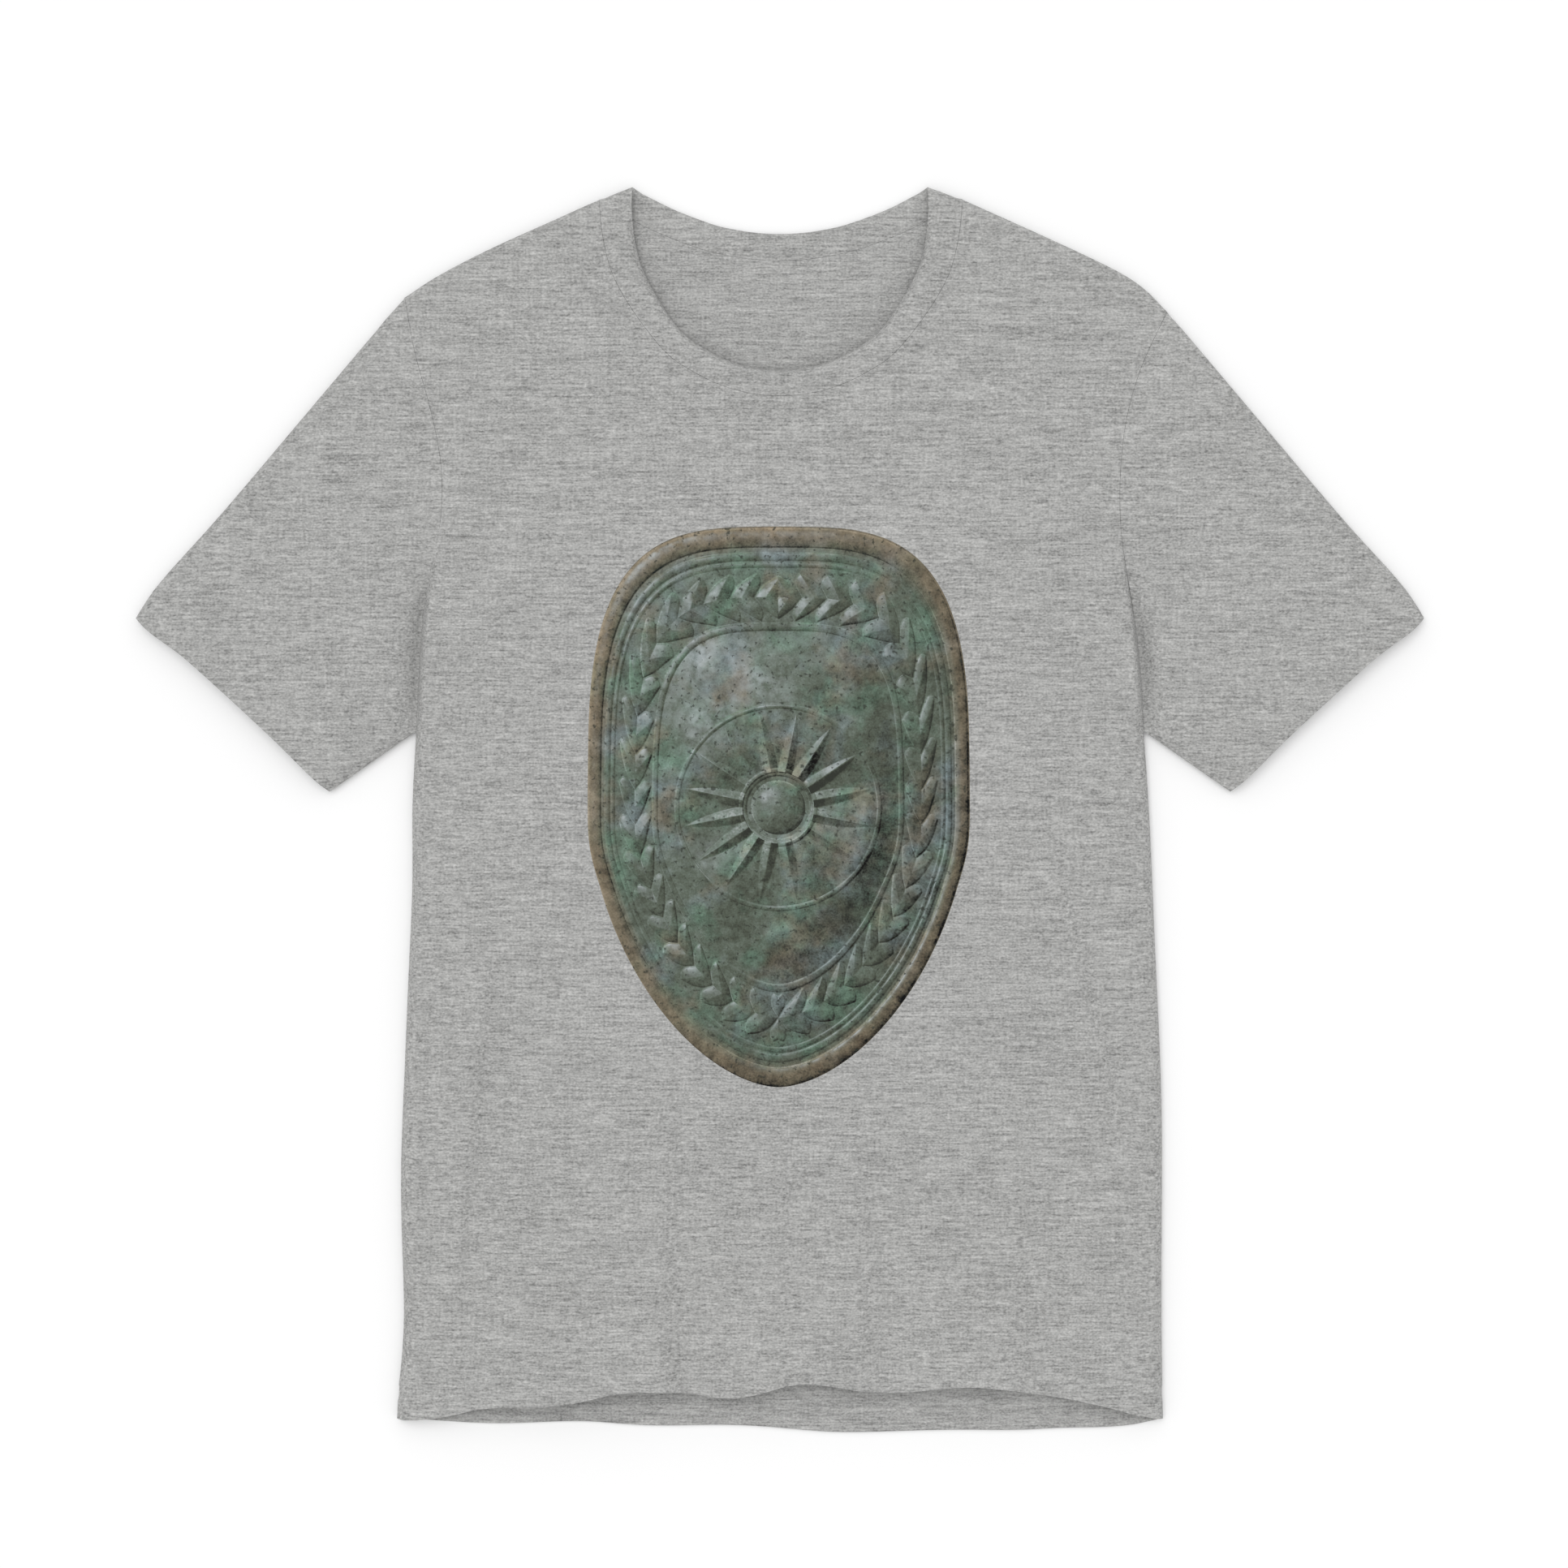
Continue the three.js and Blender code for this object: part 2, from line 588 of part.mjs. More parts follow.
// Gives a piece its thickness, inwards from its outer face, and closes its borders. Pieces on both sides of a
// seam split its wall along the same diagonals.
function closedBody(piece) {
  const borders = piece.borders();
  const shifts = drawBack(piece, borders);
  const outer = piece.points.map((point, i) => point.clone().add(shifts[i]));
  const inner = outer.map((point, i) => {
    const outward = outwards.get(placeName(piece.points[i])).clone().normalize();
    return point.clone().addScaledVector(outward, -piece.thicknesses[i]);
  });
  const under = (number) => number + outer.length;
  const triangles = [];
  for (const [a, b, c, d] of piece.cells) {
    triangles.push(a, b, c, a, c, d);
    triangles.push(under(a), under(c), under(b), under(a), under(d), under(c));
  }
  for (const { from, to } of borders) {
    const [start, end] = [from, to].map((number) => placeName(piece.points[number]));
    if (start < end) triangles.push(to, from, under(from), to, under(from), under(to));
    else triangles.push(to, from, under(to), from, under(from), under(to));
  }
  const geometry = new THREE.BufferGeometry().setFromPoints([...outer, ...inner]);
  geometry.setIndex(triangles);
  geometry.computeVertexNormals();
  return geometry;
}

const heatherGrey = new THREE.Color().setRGB(0.655, 0.655, 0.647, THREE.SRGBColorSpace);
const tints = { front_panel: 1, back_panel: 0.96, sleeve_left: 1, sleeve_right: 1, neckband: 1.02 };

const shirt = new THREE.Group();
for (const piece of pieces) {
  const cloth = new THREE.MeshStandardMaterial({
    color: heatherGrey.clone().multiplyScalar(tints[piece.name]),
    roughness: 0.92,
    metalness: 0,
  });
  const mesh = new THREE.Mesh(closedBody(piece), cloth);
  mesh.name = piece.name;
  mesh.position.y = (backHemSag - bodyLength) / 2;
  shirt.add(mesh);
}

export default shirt;
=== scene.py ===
"""A short-sleeved crew-neck T-shirt of heather grey jersey, lying flat on its back on a pale floor."""

import math

import bmesh
import bpy
import numpy as np
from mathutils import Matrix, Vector, noise
from mathutils.bvhtree import BVHTree


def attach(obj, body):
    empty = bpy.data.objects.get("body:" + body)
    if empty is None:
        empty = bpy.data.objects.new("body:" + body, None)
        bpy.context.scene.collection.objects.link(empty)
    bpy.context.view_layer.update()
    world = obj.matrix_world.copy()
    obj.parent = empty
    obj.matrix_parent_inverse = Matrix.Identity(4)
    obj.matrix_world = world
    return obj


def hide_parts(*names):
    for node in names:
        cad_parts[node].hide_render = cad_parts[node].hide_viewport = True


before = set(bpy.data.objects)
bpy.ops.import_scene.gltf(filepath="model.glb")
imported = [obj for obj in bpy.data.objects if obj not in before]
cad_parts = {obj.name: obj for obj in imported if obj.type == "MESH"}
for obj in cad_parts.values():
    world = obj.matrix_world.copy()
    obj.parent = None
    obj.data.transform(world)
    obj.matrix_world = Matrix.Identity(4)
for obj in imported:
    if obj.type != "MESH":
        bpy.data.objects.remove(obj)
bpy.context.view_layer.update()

# Back panel: single jersey cut in one piece, with its hem turned up once to the inside. It lies on the table
# and the rest of the shirt lies on it. As on every piece, the seams are overlocked inside, so from outside two
# edges only meet, and a turned edge is a soft round fold.
MM = 0.001
merge_distance = 0.01 * MM
pair_angle = math.radians(50)  # two triangles that turn less than this are one four-sided face
rim_angle = math.radians(60)  # a cut or folded edge turns more than this
thickest_cloth = 2.4 * MM
seam_distance = 1 * MM  # an edge this near another piece is sewn to it
seam_ease = 0.08 * MM  # how far a sewn edge is let out towards its neighbour, which leaves a hairline
corner_angle = math.radians(25)  # where a sewn edge turns more than this, it keeps its corner
fold_roundness = 0.44  # radius of a turned edge, as a share of its thickness
fold_segments = 3
cloth_levels = 3
held_steps = 2  # how often the points are set back to their places on the rounded cloth

node_trees = {}
for node_name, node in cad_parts.items():
    corners = [vertex.co for vertex in node.data.vertices]
    node_trees[node_name] = BVHTree.FromPolygons(corners, [face.vertices for face in node.data.polygons])


def is_sewn(face, own_name):
    """Whether the edge wall faces another piece."""
    centre = face.calc_center_median()
    others = [tree for name, tree in node_trees.items() if name != own_name]
    return any(tree.find_nearest(centre, seam_distance)[0] is not None for tree in others)


def edge_walls(cloth):
    """The narrow faces along the cut and folded edges."""
    rims = {edge for edge in cloth.edges if edge.calc_face_angle(0) > rim_angle}
    walls = []
    for face in cloth.faces:
        narrow = min(edge.calc_length() for edge in face.edges) < thickest_cloth
        if narrow and sum(edge in rims for edge in face.edges) >= 2:
            walls.append(face)
    return rims, walls


def let_out(walls):
    """Moves the sewn edges out towards their neighbours."""
    for vertex in {vertex for face in walls for vertex in face.verts}:
        normals = [face.normal for face in vertex.link_faces if face in walls]
        outward = sum(normals, Vector())
        vertex.co += outward * (seam_ease * len(normals) / max(outward.length_squared, 1))


def keep_edges(cloth, edges):
    """Makes the sewn edges stay crisp, and their corners too, when the cloth is rounded."""
    edge_crease = cloth.edges.layers.float["crease_edge"]
    corner_crease = cloth.verts.layers.float["crease_vert"]
    for edge in edges:
        edge[edge_crease] = 1
        edge.smooth = False
    for vertex in cloth.verts:
        kept = [edge for edge in vertex.link_edges if edge[edge_crease] > 0]
        if not kept:
            continue
        ways = [edge.other_vert(vertex).co - vertex.co for edge in kept]
        straight = len(kept) == 2 and ways[0].angle(ways[1]) > math.pi - corner_angle
        if not straight:
            vertex[corner_crease] = 1


def places_of(mesh):
    """The mesh's points as rows of x, y and z."""
    places = np.empty(len(mesh.vertices) * 3)
    mesh.vertices.foreach_get("co", places)
    return places.reshape(-1, 3)


def rounded_copy(piece):
    """The piece's mesh with its modifiers applied."""
    evaluated = piece.evaluated_get(bpy.context.evaluated_depsgraph_get())
    return bpy.data.meshes.new_from_object(evaluated)


def cloth_from_node(name, levels=cloth_levels):
    """The piece's cloth, as an object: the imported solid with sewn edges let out, turned edges rounded and the
    faces between them smoothed."""
    cloth = bmesh.new()
    cloth.from_mesh(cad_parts[name].data)
    cloth.edges.layers.float.new("crease_edge")
    cloth.verts.layers.float.new("crease_vert")
    bmesh.ops.remove_doubles(cloth, verts=cloth.verts, dist=merge_distance)
    bmesh.ops.join_triangles(
        cloth, faces=cloth.faces, angle_face_threshold=pair_angle, angle_shape_threshold=math.pi
    )
    rims, walls = edge_walls(cloth)
    sewn = {face for face in walls if is_sewn(face, name)}
    turned = [face for face in walls if face not in sewn]
    sewn_rims = [edge for edge in rims if any(face in sewn for face in edge.link_faces)]
    turned_rims = [
        edge
        for edge in rims
        if any(face in turned for face in edge.link_faces) and edge not in sewn_rims
    ]
    let_out(sewn)
    keep_edges(cloth, sewn_rims)
    if turned_rims:
        thickness = min(edge.calc_length() for face in turned for edge in face.edges)
        bmesh.ops.bevel(
            cloth,
            geom=turned_rims,
            offset=thickness * fold_roundness,
            offset_type="OFFSET",
            affect="EDGES",
            segments=fold_segments,
            profile=0.5,
            material=-1,
            clamp_overlap=True,
        )
    for face in cloth.faces:
        face.smooth = True
    mesh = bpy.data.meshes.new(name + "_cloth")
    cloth.to_mesh(mesh)
    cloth.free()
    piece = bpy.data.objects.new(name + "_cloth", mesh)
    bpy.context.scene.collection.objects.link(piece)
    rounding = piece.modifiers.new("rounding", "SUBSURF")
    rounding.levels = levels
    rounding.render_levels = levels
    meant = places_of(mesh)
    for _ in range(held_steps):
        rounded = rounded_copy(piece)
        held = places_of(mesh) + meant - places_of(rounded)[: len(meant)]
        mesh.vertices.foreach_set("co", held.ravel())
        mesh.update()
        bpy.data.meshes.remove(rounded)
    piece.data = rounded_copy(piece)
    piece.modifiers.clear()
    return piece


# How the upper cloth lies: soft folds, each a line in plan from its upper to its lower end, in millimetres.
# The cloth rises gently towards the line from both sides, and drops across it to the wearer's left.
fold_rows = [
    {"line": [(-163, -62), (-166, -100), (-175, -190), (-186, -322)], "width": 9, "drop": 5, "ends": True},
    {"line": [(146, 32), (162, -48), (185, -132), (195, -215)], "width": 9, "drop": 4, "ends": True},
    {"line": [(-59, -140), (-62, -235), (-61, -360)], "width": 18, "drop": 6.5, "ends": False},
    {"line": [(4, -150), (5, -230), (1, -360)], "width": 15, "drop": 4.8, "ends": False},
    {"line": [(45, -140), (48, -235), (51, -360)], "width": 15, "drop": 4.4, "ends": False},
    {"line": [(134, -170), (138, -250), (141, -360)], "width": 18, "drop": 4, "ends": False},
]
fold_reach = 32 * MM  # how far from a fold the cloth is back to its height
fold_begun = 0.35  # share of its line at which a fold has its full drop
fold_ending = 0.75  # and from which it runs out, where it has a lower end
fold_sharpness = 2.4  # how steep the drop is within its width
waves = [{"length": 62, "rise": 0.9}, {"length": 24, "rise": 0.22}]
still_height = 4.5 * MM  # cloth lower than this lies still
free_height = 9 * MM  # and cloth higher than this moves freely

# The front also stands up a little round the neck and along the hem, over the cloth beside it.
neck_middle = (0, 345 * MM)
neck_half_width = 85 * MM
neck_half_height = 95 * MM
neck_rise = 4 * MM
neck_rise_end = 1.35  # in half widths and half heights of the neck
neck_point_run = 40 * MM  # how far down from the neck points the rise begins
hem_rise = 3 * MM
hem_line = -335 * MM
hem_rise_run = 55 * MM  # how far up from the hem the rise ends
hem_rise_half_width = 120 * MM
hem_flat_half_width = 195 * MM  # from here to the side seams the hem isn't raised


def eased(value, start, end):
    """From 0 at the start to 1 at the end, without a kink at either."""
    share = np.clip((value - start) / (end - start), 0, 1)
    return share * share * (3 - 2 * share)


def fold_lift(places, row):
    """How far one soft fold lifts the cloth at places in plan."""
    line = np.array(row["line"]) * MM
    gap = np.full(len(places), np.inf)
    beside = np.zeros(len(places))
    along = np.zeros(len(places))
    for step, (start, end) in enumerate(zip(line, line[1:])):
        run = end - start
        away = places - start
        share = np.clip(away @ run / (run @ run), 0, 1)
        away = away - share[:, None] * run
        distance = np.hypot(away[:, 0], away[:, 1])
        nearer = distance < gap
        gap[nearer] = distance[nearer]
        beside[nearer] = (np.sign(run[0] * away[:, 1] - run[1] * away[:, 0]) * distance)[nearer]
        along[nearer] = (step + share[nearer]) / (len(line) - 1)
    fade = eased(along, 0, fold_begun)
    if row["ends"]:
        fade = fade * (1 - eased(along, fold_ending, 1))
    drop = np.tanh(beside * fold_sharpness / (row["width"] * MM)) * np.exp(-gap / fold_reach)
    return -row["drop"] * MM / 2 * drop * fade


def mouth_lift(x, y):
    """How far the front stands up round the neck and along the hem."""
    beside_neck = (x - neck_middle[0]) / neck_half_width
    below_neck = (neck_middle[1] - y) / neck_half_height
    near_neck = 1 - eased(np.hypot(beside_neck, below_neck), 1, neck_rise_end)
    off_points = eased(neck_middle[1] - y, 0, neck_point_run)
    near_hem = 1 - eased(y - hem_line, 0, hem_rise_run)
    off_sides = 1 - eased(abs(x), hem_rise_half_width, hem_flat_half_width)
    return neck_rise * near_neck * off_points + hem_rise * near_hem * off_sides


def put_places(piece, places):
    """Moves the piece's points to the places given."""
    piece.data.vertices.foreach_set("co", places.ravel())
    piece.data.update()


def lay(piece):
    """Lays the upper cloth in its soft folds and slight unevenness. What lies on the table stays flat."""
    places = places_of(piece.data)
    lift = sum(fold_lift(places[:, :2], row) for row in fold_rows)
    lift = lift + mouth_lift(places[:, 0], places[:, 1])
    for wave in waves:
        size = 1 / (wave["length"] * MM)
        uneven = [noise.noise(Vector((x * size, y * size, wave["length"]))) for x, y, z in places]
        lift = lift + wave["rise"] * MM * np.array(uneven)
    places[:, 2] += lift * eased(places[:, 2], still_height, free_height)
    put_places(piece, places)


def add_node(tree, kind, inputs=None, **settings):
    """Adds a shader node and gives its inputs values, or links where the value is another node's output."""
    made = tree.nodes.new(kind)
    for name, value in settings.items():
        setattr(made, name, value)
    for name, value in (inputs or {}).items():
        if isinstance(value, bpy.types.NodeSocket):
            tree.links.new(value, made.inputs[name])
        else:
            made.inputs[name].default_value = value
    return made


def reckon(tree, operation, *values, clamp=False):
    """Adds a Math node on numbers or outputs, and returns its output."""
    inputs = dict(enumerate(values))
    return add_node(tree, "ShaderNodeMath", inputs, operation=operation, use_clamp=clamp).outputs[0]


def mixed(tree, share, first, second, blend="MIX"):
    """Adds a Mix node on two colours, and returns its output."""
    inputs = {"Factor": share, "A": first, "B": second}
    made = add_node(tree, "ShaderNodeMix", data_type="RGBA", blend_type=blend, clamp_factor=True)
    for socket in made.inputs:
        if not socket.enabled or socket.name not in inputs:
            continue
        value = inputs[socket.name]
        if isinstance(value, bpy.types.NodeSocket):
            tree.links.new(value, socket)
        else:
            socket.default_value = value
    return next(socket for socket in made.outputs if socket.enabled)


def new_group(name, inputs, outputs):
    """Starts a shader node group with named inputs and outputs."""
    tree = bpy.data.node_groups.new(name, "ShaderNodeTree")
    for label, kind in inputs.items():
        tree.interface.new_socket(name=label, in_out="INPUT", socket_type=kind)
    for label, kind in outputs.items():
        tree.interface.new_socket(name=label, in_out="OUTPUT", socket_type=kind)
    given = tree.nodes.new("NodeGroupInput").outputs
    result = tree.nodes.new("NodeGroupOutput").inputs
    return tree, given, result


# Heather yarn: dark and light fibres spun together, so the cloth is streaked along its courses.
dark_fibre = (0.146, 0.146, 0.143, 1)
light_fibre = (0.544, 0.543, 0.531, 1)
fleck_rows = [
    {"along": 1.4, "across": 1, "weight": 0.98, "lift": 0.6},
    {"along": 6.5, "across": 1.15, "weight": 0.72, "lift": 0.5},
    {"along": 34, "across": 1.2, "weight": 0.6, "lift": 0.2},
    {"along": 26, "across": 9, "weight": 0.22, "lift": 0},
    {"along": 1.5, "across": 14, "weight": 0.25, "lift": 0.5},
]
yarn_relief = 0.08 * MM
yarn_relief_strength = 0.6


def heather_group():
    """Streaks of dark and light fibre, from a place in metres."""
    tree, given, result = new_group(
        "heather_yarn",
        {"Place": "NodeSocketVector"},
        {"Color": "NodeSocketColor", "Height": "NodeSocketFloat"},
    )
    shade = 0.5
    height = 0
    for row in fleck_rows:
        across = 1 / (row["across"] * MM)
        scale = (1 / (row["along"] * MM), across, across)
        stretched = add_node(tree, "ShaderNodeMapping", {"Vector": given["Place"], "Scale": scale})
        fibres = add_node(
            tree, "ShaderNodeTexNoise", {"Vector": stretched.outputs[0], "Scale": 1, "Detail": 1}
        )
        spread = reckon(tree, "SUBTRACT", fibres.outputs["Fac"], 0.5)
        shade = reckon(tree, "MULTIPLY_ADD", spread, row["weight"], shade)
        height = reckon(tree, "MULTIPLY_ADD", spread, row["lift"], height)
    tree.links.new(mixed(tree, shade, dark_fibre, light_fibre), result["Color"])
    tree.links.new(height, result["Height"])
    return tree


heather_yarn = heather_group()


def jersey(name):
    """Matt heather jersey, and its tree, its yarn node and its place output."""
    material = bpy.data.materials.new(name)
    material.use_nodes = True
    tree = material.node_tree
    cloth = tree.nodes["Principled BSDF"]
    place = add_node(tree, "ShaderNodeTexCoord").outputs["Object"]
    yarn = add_node(tree, "ShaderNodeGroup", node_tree=heather_yarn)
    tree.links.new(place, yarn.inputs["Place"])
    bump = add_node(
        tree,
        "ShaderNodeBump",
        {"Height": yarn.outputs["Height"], "Distance": yarn_relief, "Strength": yarn_relief_strength},
    )
    tree.links.new(yarn.outputs["Color"], cloth.inputs["Base Color"])
    tree.links.new(bump.outputs["Normal"], cloth.inputs["Normal"])
    cloth.inputs["Roughness"].default_value = 0.92
    cloth.inputs["Specular IOR Level"].default_value = 0.2
    cloth.inputs["Sheen Weight"].default_value = 0.12
    cloth.inputs["Sheen Roughness"].default_value = 0.5
    return material, place, yarn


body_jersey, _, _ = jersey("heather_jersey")


def dress(piece, node_name, material):
    """Gives a piece its material and its place on the shirt."""
    piece.data.materials.clear()
    piece.data.materials.append(material)
    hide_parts(node_name)
    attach(piece, "root")


back = cloth_from_node("back_panel", levels=2)
dress(back, "back_panel", body_jersey)

# Front panel: single jersey like the back, sewn to it at the shoulders and down the sides, and hemmed the same
# way. It lies on the back in a few soft folds. The chest is printed with an old bronze shield, in ink that
# lies in the knit.
hem_edge = [  # points on the front hem's edge, from the wearer's right to left, in millimetres in plan
    (-206, -348), (-191, -346.5), (-172, -342), (-155, -340.5), (-134, -340), (-115, -337.5),
    (-100, -333.5), (-85, -331.5), (-70, -331.5), (-48, -333), (-24, -335), (-12, -333),
    (0.5, -329), (13, -327), (31, -328.5), (46, -331), (68, -332), (86, -330),
    (104, -328.5), (126, -330), (147, -333), (168, -336.5), (190, -342), (205, -346.5),
]
hem_sample = 2.5 * MM  # half the width over which the edge is looked for at each point
hem_reach = 45 * MM  # how far up from the hem the cloth gives way to its waves


def wave_hem(piece):
    """Draws the front's cloth near the hem up or down, so that its edge runs through the points."""
    places = places_of(piece.data)
    across = np.array([x for x, y in hem_edge]) * MM
    meant = np.array([y for x, y in hem_edge]) * MM
    edge = np.array([places[abs(places[:, 0] - x) < hem_sample, 1].min() for x in across])
    drawn = np.interp(places[:, 0], across, meant - edge, left=0, right=0)
    above = places[:, 1] - np.interp(places[:, 0], across, edge)
    places[:, 1] += drawn * (1 - eased(above, 0, hem_reach))
    put_places(piece, places)


front = cloth_from_node("front_panel")
wave_hem(front)
lay(front)
dress(front, "front_panel", body_jersey)

# The shield. Its radius is 0 in the middle and 1 on its outline, which is squarer at the top than below.
# Heights are in millimetres, and other lengths are shares of the half width.
shield_middle = (-0.7, 1.6)  # millimetres
shield_half_width = 108.8
shield_half_height = 159.6
top_squareness = 3.4
bottom_squareness = 1.75
squareness_start = -0.3  # in half heights above the middle, where the outline begins to turn squarer
squareness_end = 0.4
leaf_count = 38
leaf_ring = 0.75
leaf_reach = 0.085
leaf_slant = 0.7
leaf_height = 2.8
dent_size = 44  # millimetres, of the soft dents in the field inside the wreath
dent_height = 19
dents_end = 0.66
dents_full = 0.45
dome_height = 14
ray_count = 16
ray_inner = 0.2
ray_outer = 0.5
ray_height = 20
boss_radius = 0.14
boss_height = 8
bead_rows = [
    {"radius": 0.962, "width": 0.034, "height": 2.6},
    {"radius": 0.895, "width": 0.014, "height": 0.9},
    {"radius": 0.865, "width": 0.009, "height": 0.6},
    {"radius": 0.645, "width": 0.014, "height": 1.1},
]
star_ring = {"radius": 0.53, "width": 0.012, "height": 0.8}
boss_ring = {"radius": 0.185, "width": 0.02, "height": 1.5}


def bead(tree, place, row):
    """Height of a round bead at a place across it."""
    across = reckon(tree, "DIVIDE", reckon(tree, "SUBTRACT", place, row["radius"]), row["width"])
    left = reckon(tree, "SUBTRACT", 1, reckon(tree, "MULTIPLY", across, across), clamp=True)
    return reckon(tree, "MULTIPLY", reckon(tree, "SQRT", left), row["height"])


def relief_group():
    """The shield's embossing: its height and radius at a place in metres."""
    tree, given, result = new_group(
        "shield_relief",
        {"Place": "NodeSocketVector"},
        {"Height": "NodeSocketFloat", "Radius": "NodeSocketFloat"},
    )
    apart = add_node(tree, "ShaderNodeSeparateXYZ", {"Vector": given["Place"]}).outputs
    x = reckon(tree, "SUBTRACT", apart["X"], shield_middle[0] * MM)
    y = reckon(tree, "SUBTRACT", apart["Y"], shield_middle[1] * MM)
    u = reckon(tree, "DIVIDE", x, shield_half_width * MM)
    v = reckon(tree, "DIVIDE", y, shield_half_height * MM)
    squareness = add_node(
        tree,
        "ShaderNodeMapRange",
        {
            "Value": v,
            "From Min": squareness_start,
            "From Max": squareness_end,
            "To Min": bottom_squareness,
            "To Max": top_squareness,
        },
        interpolation_type="SMOOTHSTEP",
    ).outputs[0]
    powers = [reckon(tree, "POWER", reckon(tree, "ABSOLUTE", part), squareness) for part in (u, v)]
    radius = reckon(tree, "POWER", reckon(tree, "ADD", *powers), reckon(tree, "DIVIDE", 1, squareness))
    height = 0
    for row in bead_rows:
        height = reckon(tree, "ADD", height, bead(tree, radius, row))
    # Laurel leaves in two rows, one on each side of a stem that runs round.
    turn = reckon(tree, "DIVIDE", reckon(tree, "ARCTAN2", v, u), 2 * math.pi)
    off_stem = reckon(tree, "DIVIDE", reckon(tree, "SUBTRACT", radius, leaf_ring), leaf_reach)
    off_stem = reckon(tree, "ABSOLUTE", off_stem)
    from_below = reckon(tree, "PINGPONG", reckon(tree, "ADD", turn, 0.25), 0.5)
    cell = reckon(tree, "MULTIPLY_ADD", from_below, leaf_count, 2)
    cell = reckon(tree, "FRACT", reckon(tree, "MULTIPLY_ADD", off_stem, -leaf_slant, cell))
    beside_vein = reckon(tree, "ABSOLUTE", reckon(tree, "MULTIPLY_ADD", cell, 2, -1))
    breadth = reckon(tree, "SUBTRACT", 1, reckon(tree, "POWER", off_stem, 3), clamp=True)
    inside = reckon(tree, "SUBTRACT", breadth, beside_vein, clamp=True)
    leaf = reckon(tree, "MULTIPLY", reckon(tree, "SQRT", inside), leaf_height)
    height = reckon(tree, "ADD", height, leaf)
    # The field, domed and softly dented.
    height = reckon(tree, "MULTIPLY_ADD", reckon(tree, "MULTIPLY", radius, radius), -dome_height, height)
    in_field = add_node(
        tree,
        "ShaderNodeMapRange",
        {"Value": radius, "From Min": dents_end, "From Max": dents_full, "To Max": dent_height},
        interpolation_type="SMOOTHSTEP",
    ).outputs[0]
    dents = add_node(
        tree,
        "ShaderNodeTexNoise",
        {"Vector": given["Place"], "Scale": 1 / (dent_size * MM), "Detail": 0},
    )
    height = reckon(tree, "MULTIPLY_ADD", dents.outputs["Fac"], in_field, height)
    # Rays, each with a ridge down its middle.
    from_middle = reckon(
        tree,
        "DIVIDE",
        reckon(tree, "SQRT", reckon(tree, "MULTIPLY_ADD", x, x, reckon(tree, "MULTIPLY", y, y))),
        shield_half_width * MM,
    )
    round_turn = reckon(tree, "DIVIDE", reckon(tree, "ARCTAN2", y, x), 2 * math.pi)
    ray = reckon(tree, "PINGPONG", reckon(tree, "MULTIPLY", round_turn, ray_count), 0.5)
    tip = reckon(tree, "MULTIPLY_ADD", ray, 2 * (ray_outer - ray_inner), ray_inner)
    ray_lift = reckon(tree, "SUBTRACT", tip, from_middle, clamp=True)
    past_boss = reckon(tree, "GREATER_THAN", from_middle, boss_ring["radius"])
    ray_lift = reckon(tree, "MULTIPLY", ray_lift, past_boss)
    height = reckon(tree, "MULTIPLY_ADD", ray_lift, ray_height, height)
    height = reckon(tree, "ADD", height, bead(tree, from_middle, boss_ring))
    height = reckon(tree, "ADD", height, bead(tree, from_middle, star_ring))
    boss = bead(tree, from_middle, {"radius": 0, "width": boss_radius, "height": boss_height})
    tree.links.new(reckon(tree, "ADD", height, boss), result["Height"])
    tree.links.new(radius, result["Radius"])
    return tree


shield_relief = relief_group()

light_way = (-0.6, 0.72)  # where the light in the picture comes from, in plan
slope_step = 0.7  # millimetres over which a slope is taken
slope_light = 0.36  # how much a slope towards the light brightens the tone
steepest = 1.1  # steeper slopes are no brighter or darker
shine_slope = (0.3, -0.4)  # the slope that shines most
shine_spread = 0.07
bronze_tones = [  # the bronze's colours by tone, from the darkest
    (0, (0.03, 0.034, 0.026)),
    (0.2, (0.062, 0.072, 0.053)),
    (0.38, (0.094, 0.113, 0.086)),
    (0.55, (0.128, 0.156, 0.125)),
    (0.72, (0.175, 0.21, 0.18)),
    (0.87, (0.25, 0.29, 0.265)),
    (1, (0.4, 0.435, 0.425)),
]
# Patches of other colours in the bronze, each where its noise passes from its start to its end.
patches = [
    {"size": 30, "start": 0.5, "end": 0.68, "share": 0.55, "colour": (0.165, 0.21, 0.235, 1)},
    {"size": 20, "start": 0.48, "end": 0.66, "share": 0.65, "colour": (0.1, 0.175, 0.125, 1)},
    {"size": 26, "start": 0.52, "end": 0.68, "share": 0.6, "colour": (0.15, 0.118, 0.08, 1)},
]
mottles = [{"size": 14, "weight": 0.6}, {"size": 4, "weight": 0.65}, {"size": 1.1, "weight": 0.55}]
pits = {"size": 2.6, "start": 0.59, "end": 0.67, "share": 0.75}
worn = {"size": 5, "start": 0.3, "end": 0.65, "share": 0.75}  # where the bronze still shines
shine_colour = (0.5, 0.545, 0.56, 1)
rim = {"start": 0.9, "end": 0.96, "share": 0.75}
rim_brown = (0.17, 0.13, 0.085, 1)
middle_tone = 0.43  # of a level place
patch_brightness = (2.3, 0.02)  # how a patch brightens with the tone, and its brightness in the dark
knit_share = 0.2  # how much the yarn shows through the ink


